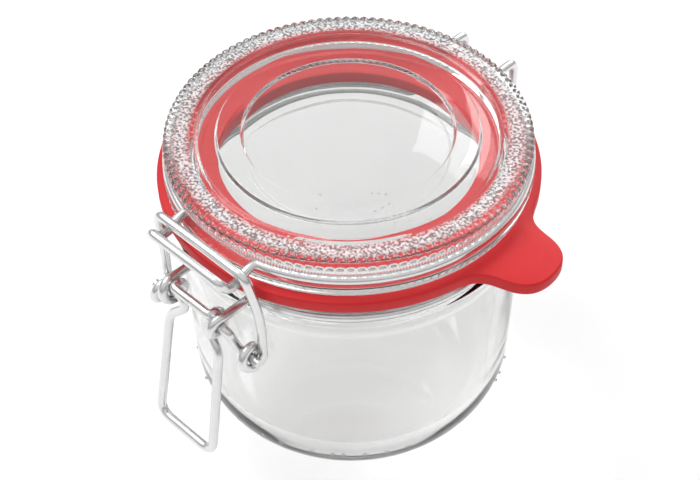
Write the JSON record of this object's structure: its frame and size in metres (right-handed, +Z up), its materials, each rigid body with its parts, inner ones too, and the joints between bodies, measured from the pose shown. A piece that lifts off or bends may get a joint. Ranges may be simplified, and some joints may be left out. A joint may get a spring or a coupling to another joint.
{
  "type": "clip top jar",
  "caption": "Clear glass storage jar with a hinged glass lid, a red rubber seal with a pull tab, and a wire lever clip.",
  "frame": {"origin": "centre of the flat base, on the jar's axis", "axes": "+Z up along the jar's axis, -Y towards the clip, +X to the side of the seal's tab"},
  "size_m": [0.1083, 0.1152, 0.0882],
  "materials": {
    "glass": "clear pressed glass, polished",
    "seal": "satin red rubber",
    "wire": "bright drawn wire"
  },
  "bodies": {
    "closed_jar": {"jar": "glass", "lid": "glass", "seal": "seal", "lid_wire": "wire", "neck_wire": "wire"},
    "lever_body": {"lever": "wire"},
    "bail_body": {"bail": "wire"}
  },
  "joints": [
    {"name": "lever_swing", "type": "hinge", "parent": "closed_jar", "child": "lever_body", "pos_m": [0, -0.0523, 0.0655], "axis": [-1, 0, 0], "range_deg": [0, 90]},
    {"name": "bail_lift", "type": "hinge", "parent": "lever_body", "child": "bail_body", "pos_m": [0, -0.0496, 0.0575], "axis": [-1, 0, 0], "range_deg": [-65.7, 0]}
  ],
  "couplings": [
    {"joint": "bail_lift", "follows": "lever_swing", "ratio": -0.73}
  ]
}
